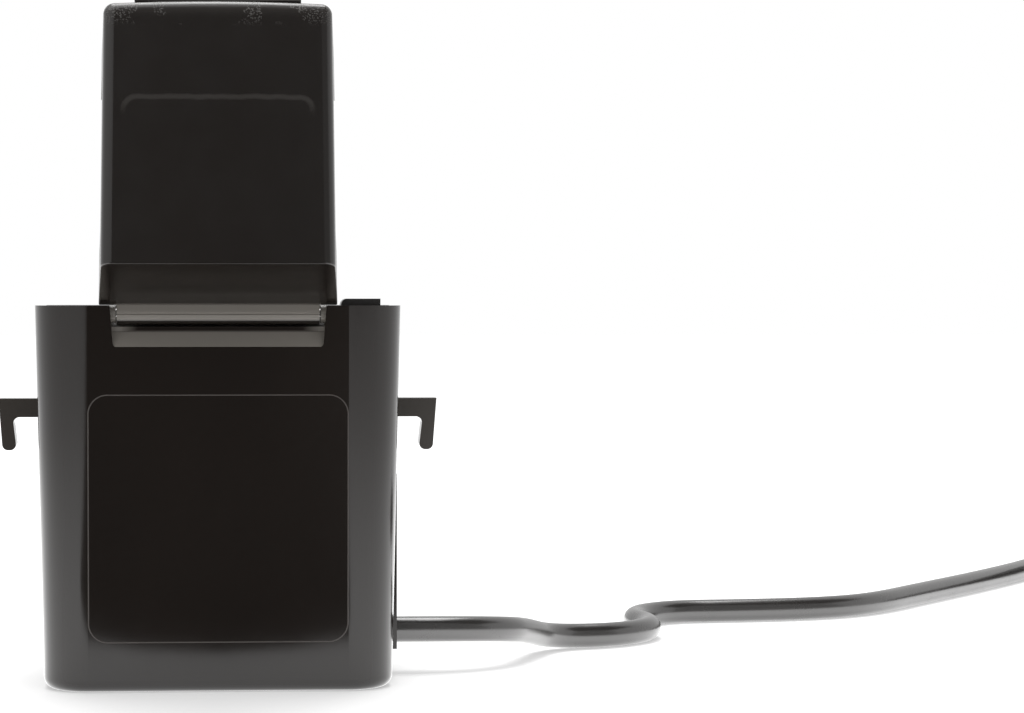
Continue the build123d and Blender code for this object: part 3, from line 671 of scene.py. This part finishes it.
    def sink_mark(self, sheet: NodeSheet, colour: object, fine: bpy.types.Node) -> tuple:
        """Adds the shallow wavering sink line over the lid's core to its height, and a painted
        highlight along it to its colour.
        """
        place = self.place(sheet, True)
        parts = sheet.add("ShaderNodeSeparateXYZ", {0: place})
        ripple = sheet.noise(place, MARKS.waver_size, 4.0)
        waver = sheet.spread(ripple, -MARKS.waver, MARKS.waver)
        off = sheet.sum("SUBTRACT", parts.outputs[1], MARKS.sink_middle)
        inputs = {
            "X": sheet.sum("ADD", parts.outputs[0], waver),
            "Y": sheet.sum("ADD", off, waver),
            "Half X": MARKS.sink_half[0],
            "Half Y": MARKS.sink_half[1],
            "Corner": MARKS.sink_corner,
            "Width": MARKS.sink_width,
        }
        outline = sheet.add("ShaderNodeGroup", inputs, node_tree=self.framed).outputs["Line"]
        line = sheet.sum("MULTIPLY", outline, sheet.ramp(parts.outputs[1], *MARKS.sink_end))
        shown = sheet.sum("MULTIPLY", line, MARKS.sink_share)
        height = {
            "Height": line,
            "Strength": MARKS.sink_strength,
            "Distance": MARKS.sink_height,
            "Normal": fine.outputs["Normal"],
        }
        # Paints the sink line paler, as a painted highlight along it
        paler = sheet.blend(shown, colour, MARKS.sink_highlight_colour)
        return paler, sheet.add("ShaderNodeBump", height)


@dataclass
class Studio:
    """The pale floor, white surround, cards that only mirrored rays meet, lamp and camera."""

    floor_half: float = 4.0
    paper_colour: tuple[float, ...] = (0.86, 0.86, 0.86, 1.0)
    card_left: float = -0.22
    card_right: float = 0.12
    card_lift: float = 0.4 * MM
    card_wide: float = 3.0
    card_nose: tuple[tuple[float, float], ...] = (  # the flat card's near end, from its right
        (0.038, -0.125), (0.031, -0.085), (0.022, -0.066), (0.012, -0.057), (0.0, -0.053),
        (-0.012, -0.057), (-0.022, -0.066), (-0.036, -0.085), (-0.060, -0.125),
    )
    card_reach: float = 1.2
    card_height: float = 2.4
    roof_height: float = 2.4
    roof_edge: float = 0.045  # where the pale card ends and the dark one begins
    roof_back: float = 0.9
    pale_front: float = -1.2
    pale_back: float = 0.3
    pale_level: float = 2.6
    side_level: float = 0.42
    # Round the case the floor is painted darker for the camera, a painted shadow, and brighter in
    # reflections, a painted glow
    pool_reach: tuple[float, float] = (0.06, 0.50)  # where the floor's glow round the case fades
    pool_mirrored_glow: float = 1.25
    pool_painted_shade: float = -0.10
    floor_lift: float = 0.46
    world_lighting: float = 0.72
    lamp_place: tuple[float, float, float] = (0.02, 0.32, 0.92)
    lamp_target: tuple[float, float, float] = (0.0, 0.0, 0.03)
    lamp_size: float = 0.6
    lamp_watts: float = 6.5

    def plane(self, name: str, corners: list[tuple[float, float, float]]) -> bpy.types.Object:
        """Makes a flat piece of the stage from its corners in order."""
        mesh = bpy.data.meshes.new(name)
        mesh.from_pydata(corners, [], [tuple(range(len(corners)))])
        piece = bpy.data.objects.new(name, mesh)
        bpy.context.scene.collection.objects.link(piece)
        return piece

    def floor(self) -> None:
        """Lays the pale floor, which keeps the sensor's shadow; round the case it adds a painted
        shadow seen by the camera and a painted glow seen in reflections.
        """
        half = self.floor_half
        corners = [(-half, -half, 0), (half, -half, 0), (half, half, 0), (-half, half, 0)]
        piece = self.plane("studio_floor", corners)
        material = bpy.data.materials.new("floor_paper")
        material.use_nodes = True
        sheet = NodeSheet(material.node_tree)
        material.node_tree.nodes.remove(material.node_tree.nodes["Principled BSDF"])
        paper = sheet.add("ShaderNodeBsdfDiffuse", {"Color": self.paper_colour})
        place = sheet.add("ShaderNodeTexCoord").outputs["Object"]
        away = sheet.add("ShaderNodeVectorMath", {0: place}, operation="LENGTH").outputs["Value"]
        pool = sheet.ramp(away, self.pool_reach[1], self.pool_reach[0])
        path = sheet.add("ShaderNodeLightPath")
        # Near the case: painted shadow where the camera sees the floor, painted glow where it is
        # mirrored
        levels = {"Is Camera Ray": self.pool_painted_shade, "Is Glossy Ray": self.pool_mirrored_glow}
        parts = []
        for kind, level in levels.items():
            glow = sheet.sum("MULTIPLY_ADD", pool, level, self.floor_lift)
            parts.append(sheet.sum("MULTIPLY", path.outputs[kind], glow))
        lift = sheet.add("ShaderNodeEmission", {"Strength": sheet.sum("ADD", *parts)})
        both = sheet.add("ShaderNodeAddShader", {0: paper.outputs[0], 1: lift.outputs[0]})
        out = material.node_tree.nodes["Material Output"]
        material.node_tree.links.new(both.outputs[0], out.inputs["Surface"])
        piece.data.materials.append(material)

    def surround(self) -> None:
        """Sets an even white surround, plain white where it is seen or mirrored."""
        world = bpy.data.worlds.new("white_surround")
        world.use_nodes = True
        bpy.context.scene.world = world
        sheet = NodeSheet(world.node_tree)
        path = sheet.add("ShaderNodeLightPath")
        seen = path.outputs["Is Camera Ray"]
        for name in ("Is Glossy Ray", "Is Transmission Ray"):
            seen = sheet.sum("MAXIMUM", seen, path.outputs[name])
        strength = sheet.spread(seen, self.world_lighting, 1.0)
        background = world.node_tree.nodes["Background"]
        background.inputs["Color"].default_value = (1.0, 1.0, 1.0, 1.0)
        world.node_tree.links.new(strength, background.inputs["Strength"])

    def cards(self) -> None:
        """Stands dark cards before and above the sensor and a pale one over it."""
        far, low, high = -self.card_reach, self.card_lift, self.card_height
        left, right, wide = self.card_left, self.card_right, self.card_wide
        edge, back, roof = self.roof_edge, self.roof_back, self.roof_height
        nose = [(across, along, low) for across, along in self.card_nose]
        self.card("studio_card_flat", 0.0, [(left, far, low), (right, far, low), *nose])
        self.card("studio_card_upright", 0.0, [
            (left, far, low), (right, far, low), (right, far, high), (left, far, high),
        ])
        self.card("studio_card_roof", 0.0, [
            (edge, far, roof), (wide, far, roof), (wide, back, roof), (edge, back, roof),
        ])
        self.card("studio_card_side", self.side_level, [
            (right, far, low), (wide, far, low), (wide, far, high), (right, far, high),
        ])
        self.card("studio_card_pale", self.pale_level, [
            (-wide, self.pale_front, roof), (edge, self.pale_front, roof),
            (edge, self.pale_back, roof), (-wide, self.pale_back, roof),
        ])

    def card(self, name: str, level: float, corners: list[tuple[float, float, float]]) -> None:
        """Makes one card that only mirrored rays meet.

        Args:
            name: the card's name.
            level: how bright it is; 0 is black.
            corners: its corners in order.
        """
        material = bpy.data.materials.new(name)
        material.use_nodes = True
        shader = material.node_tree.nodes["Principled BSDF"]
        shader.inputs["Base Color"].default_value = (0.01, 0.01, 0.01, 1.0)
        shader.inputs["Roughness"].default_value = 1.0
        shader.inputs["Emission Color"].default_value = (1.0, 1.0, 1.0, 1.0)
        shader.inputs["Emission Strength"].default_value = level
        piece = self.plane(name, corners)
        piece.data.materials.append(material)
        piece.visible_camera = False
        piece.visible_diffuse = False
        piece.visible_shadow = False
        piece.visible_transmission = False

    def lamp(self) -> None:
        """Hangs one soft square lamp behind and over the sensor, facing it."""
        data = bpy.data.lights.new("key_lamp", "AREA")
        data.size = self.lamp_size
        data.energy = self.lamp_watts
        piece = bpy.data.objects.new("key_lamp", data)
        piece.location = self.lamp_place
        aim = Vector(self.lamp_target) - Vector(self.lamp_place)
        piece.rotation_euler = aim.to_track_quat("-Z", "Y").to_euler()
        bpy.context.scene.collection.objects.link(piece)

    def camera(self) -> None:
        """Stands the camera level with the lid's foot, panned so that the cord fills the right."""
        data = bpy.data.cameras.new("view_camera")
        data.sensor_width = SENSOR_WIDTH
        data.lens = FOCAL_PIXELS / IMAGE_WIDTH * SENSOR_WIDTH
        data.shift_x = CAMERA_SHIFT_X
        data.clip_start = 0.01
        data.clip_end = 50.0
        across = IMAGE_WIDTH / 2 - PRINCIPAL_X - CAMERA_SHIFT_X * IMAGE_WIDTH
        pan = math.atan(across / FOCAL_PIXELS)
        tilt = math.atan((IMAGE_HEIGHT / 2 - HORIZON_Y) / FOCAL_PIXELS)
        camera = bpy.data.objects.new("view_camera", data)
        camera.location = (0.0, -RIM_HALF_DEPTH - CAMERA_FROM_FRONT, CAMERA_HEIGHT)
        camera.rotation_euler = (math.pi / 2 - tilt, 0.0, -pan)
        bpy.context.scene.collection.objects.link(camera)
        bpy.context.scene.camera = camera

    def build(self) -> None:
        """Sets up the whole stage."""
        bpy.context.scene.view_settings.view_transform = "Standard"
        self.floor()
        self.surround()
        self.cards()
        self.lamp()
        self.camera()


def mesh_piece(
    name: str, grid: np.ndarray, material: bpy.types.Material, wrap_rows: bool
) -> bpy.types.Object:
    """Makes a closed piece from a grid of points that wraps along its columns.

    The grid's point (i, j) joins (i + 1, j), (i + 1, j + 1) and (i, j + 1). Rows wrap too, or
    else the first and last row are each closed by one face.

    Args:
        name: the piece's name.
        grid: points, rows by columns by 3, in metres.
        material: its material.
        wrap_rows: whether the last row joins the first.

    Returns:
        The new piece.
    """
    rows, columns = grid.shape[:2]
    joined = rows if wrap_rows else rows - 1
    i, j = np.meshgrid(np.arange(joined), np.arange(columns), indexing="ij")
    after, beside = (i + 1) % rows, (j + 1) % columns
    corners = [i * columns + j, after * columns + j, after * columns + beside, i * columns + beside]
    faces = np.stack([corner.ravel() for corner in corners], axis=1).tolist()
    if not wrap_rows:
        faces.append(list(range(columns)))
        faces.append([(rows - 1) * columns + column for column in reversed(range(columns))])
    mesh = bpy.data.meshes.new(name)
    mesh.from_pydata(grid.reshape(-1, 3).tolist(), [], faces)
    mesh.update()
    solid = bmesh.new()
    solid.from_mesh(mesh)
    bmesh.ops.recalc_face_normals(solid, faces=solid.faces)
    solid.to_mesh(mesh)
    solid.free()
    mesh.polygons.foreach_set("use_smooth", np.ones(len(mesh.polygons), dtype=bool))
    mesh.materials.append(material)
    piece = bpy.data.objects.new(name, mesh)
    bpy.context.scene.collection.objects.link(piece)
    log.info("%s: %d faces", name, len(mesh.polygons))
    return piece


def rounded_outline(half: tuple[float, float], corner: float, steps: int) -> tuple:
    """Points round a rounded rectangle and the outward way at each.

    Each corner's arc is its centre plus the corner radius times (cos t, sin t), for t over a
    quarter turn; straight runs join the arcs.

    Args:
        half: half its width and height.
        corner: its corner radius.
        steps: points on each corner.

    Returns:
        Points and outward ways, each as an array of X and Y.
    """
    quarter = np.linspace(0.0, math.pi / 2, steps)
    turn = np.concatenate([quarter + math.pi / 2 * number for number in range(4)])
    ways = np.column_stack([np.cos(turn), np.sin(turn)])
    signs = np.repeat([(1, 1), (-1, 1), (-1, -1), (1, -1)], steps, axis=0)
    middles = signs * (np.array(half) - corner)
    return middles + ways * corner, ways


def signed_power(wave: np.ndarray, power: float) -> np.ndarray:
    """Raises the size of each value to the power and keeps the value's sign.

    Args:
        wave: the values, from -1 to 1.
        power: the power; the smaller it is, the squarer the form.

    Returns:
        The raised values.
    """
    return np.sign(wave) * np.abs(wave) ** power


@dataclass
class FrontPanel:
    """The fine raised line that frames the bare panel on the case's front face."""

    shop: FinishShop
    middle_z: float = 25.45 * MM
    half: tuple[float, float] = (18.9 * MM, 18.05 * MM)
    corner: float = 2.8 * MM
    line: float = 0.09 * MM  # half its width
    proud: float = 0.035 * MM
    corner_steps: int = 24
    profile_steps: int = 12

    def build(self) -> None:
        """Carries a half-round profile round the panel's outline, on the drafted front face.

        The point at outline u and profile v is outline(u) + line cos v outwards along the face
        + proud sin v out of the face.
        """
        outline, ways = rounded_outline(self.half, self.corner, self.corner_steps)
        turn = np.linspace(0.0, 2 * math.pi, self.profile_steps, endpoint=False)
        spread = self.line * np.cos(turn)[None, :, None] * ways[:, None, :]
        flat = outline[:, None, :] + spread
        height = self.middle_z + flat[..., 1] * math.cos(CASE_DRAFT)
        out = (self.proud * np.sin(turn))[None, :] + np.zeros_like(height)
        face_y = -(RIM_HALF_DEPTH - (CASE_HEIGHT - height) * math.tan(CASE_DRAFT))
        grid = np.stack([flat[..., 0], face_y - out, height], axis=-1)
        piece = mesh_piece("front_frame", grid, self.shop.material(FRAME_LINE), True)
        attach(piece, "base")


@dataclass
class CoilTieHead:
    """The head and the cut tail of the tie round the coil of cord."""

    shop: FinishShop
    middle: tuple[float, float, float] = (0.198, 0.0949, 0.0056)
    half: tuple[float, float, float] = (3.6 * MM, 1.45 * MM, 2.6 * MM)
    squareness: float = 0.28
    pole_gap: float = 0.02  # radians
    head_steps: tuple[int, int] = (64, 33)
    tail_length: float = 9.0 * MM
    tail_half: float = 1.9 * MM
    tail_thickness: float = 0.5 * MM
    tail_bend: float = 1.1  # radians
    tail_root: float = 0.6  # of the head's half height
    rib_pitch: float = 0.9 * MM
    rib_swell: float = 0.22
    tail_powers: tuple[float, float] = (0.35, 0.5)  # of its section's width and thickness
    tail_steps: tuple[int, int] = (90, 24)

    def head(self) -> bpy.types.Object:
        """Makes the head: a rounded block with each coordinate a cosine or sine to a small power.

        The point at (u, v) is (a c(v) c(u), b c(v) s(u), h s(v)), where c and s are the cosine and
        sine raised, sign kept, to the squareness; v stops just short of the poles.
        """
        power = self.squareness
        u = np.linspace(0.0, 2 * math.pi, self.head_steps[0], endpoint=False)[None, :]
        top = math.pi / 2 - self.pole_gap
        v = np.linspace(-top, top, self.head_steps[1])[:, None]
        ring = signed_power(np.cos(v), power)
        x = self.half[0] * ring * signed_power(np.cos(u), power)
        y = self.half[1] * ring * signed_power(np.sin(u), power)
        z = self.half[2] * signed_power(np.sin(v), power) + np.zeros_like(u)
        grid = np.stack([x, y, z], axis=-1) + np.array(self.middle)
        return mesh_piece("tie_head", grid, self.shop.material(NYLON), False)

    def tail(self) -> bpy.types.Object:
        """Makes the tail: a thin ribbed strip that rises from the head and curls outwards.

        Its middle line is a circle's arc. Across it lies a flat section, whose width and thickness
        are a cosine and a sine raised, sign kept, to small powers; the thickness swells at ribs.
        """
        share = np.linspace(0.0, 1.0, self.tail_steps[0])
        radius = self.tail_length / self.tail_bend
        angle = self.tail_bend * share
        middle_y = self.middle[1] - radius * (1.0 - np.cos(angle))
        middle_z = self.middle[2] + self.half[2] * self.tail_root + radius * np.sin(angle)
        normal = np.column_stack([-np.cos(angle), -np.sin(angle)])
        turn = np.linspace(0.0, 2 * math.pi, self.tail_steps[1], endpoint=False)
        wave = np.sin(2 * math.pi * share * self.tail_length / self.rib_pitch)
        ribs = 1.0 + self.rib_swell * (wave > 0.0)
        across = self.tail_half * signed_power(np.cos(turn), self.tail_powers[0])
        lift = self.tail_thickness / 2 * signed_power(np.sin(turn), self.tail_powers[1])
        out = ribs[:, None] * lift[None, :]
        x = self.middle[0] + across[None, :] + np.zeros_like(out)
        y = middle_y[:, None] + normal[:, :1] * out
        z = middle_z[:, None] + normal[:, 1:] * out
        grid = np.stack([x, y, z], axis=-1)
        return mesh_piece("tie_tail", grid, self.shop.material(NYLON), False)

    def build(self) -> list[bpy.types.Object]:
        """Makes both pieces, which ride with the base, and returns them."""
        pieces = [self.head(), self.tail()]
        for piece in pieces:
            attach(piece, "base")
        return pieces


@dataclass
class SignalCord:
    """The thin two-core cord: loose to the right, then wound into a small tied coil."""

    shop: FinishShop
    order: int = 3
    smoothness: int = 8

    def coil_points(self) -> list[tuple[float, float, float]]:
        """Points of the coil: in on the lower layer, up in half a turn, out on the upper."""
        last = 2 * COIL_TURNS + COIL_CLIMB
        count = round(last * COIL_POINTS_PER_TURN)
        turn = np.linspace(0.0, last, count + 1)
        inner = np.minimum(turn, last - turn)
        climb = np.clip((turn - COIL_TURNS) / COIL_CLIMB, 0.0, 1.0)
        rise = climb * climb * (3.0 - 2.0 * climb)
        radius = COIL_RADIUS - COIL_PITCH * inner
        angle = math.pi / 2 - 2.0 * math.pi * turn
        x = COIL_MIDDLE[0] + radius * np.cos(angle)
        y = COIL_MIDDLE[1] + radius * np.sin(angle)
        z = COIL_FLOOR + COIL_LAYER * rise
        return [tuple(point) for point in np.column_stack([x, y, z]).tolist()]

    def build(self, extras: list[bpy.types.Object]) -> None:
        """Args:
            extras: pieces on the cord beside its packed ones; not used.
        """
        points = CORD_ROUTE + self.coil_points() + TAIL_ROUTE
        curve = bpy.data.curves.new("signal_cord", "CURVE")
        curve.dimensions = "3D"
        spline = curve.splines.new("NURBS")
        spline.points.add(len(points) - 1)
        for place, point in zip(spline.points, points):
            place.co = (*point, 1.0)
        spline.order_u = self.order
        spline.use_endpoint_u = True
        spline.resolution_u = self.smoothness
        curve.bevel_depth = CORD_RADIUS
        curve.bevel_resolution = self.smoothness
        curve.use_fill_caps = True
        cord = bpy.data.objects.new("signal_cord", curve)
        bpy.context.scene.collection.objects.link(cord)
        curve.materials.append(self.shop.material(JACKET))
        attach(cord, "base")
        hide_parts("cord_lead", "cord_coil", "cord_tail")
        log.info("signal_cord: %d points", len(points))


def dress_nodes(shop: FinishShop) -> None:
    """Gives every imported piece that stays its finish."""
    for name, finish in NODE_FINISHES.items():
        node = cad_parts[name]
        for slot in node.material_slots:
            slot.material = shop.material(finish)
        log.info("%s: %s", name, finish.name)


def main() -> None:
    """Builds the sensor's parts in order and reports each."""
    logging.basicConfig(level=logging.INFO, format="%(message)s")
    shop = FinishShop()
    Studio().build()
    dress_nodes(shop)
    FrontPanel(shop).build()
    SignalCord(shop).build(CoilTieHead(shop).build())


if __name__ == "__main__":
    main()
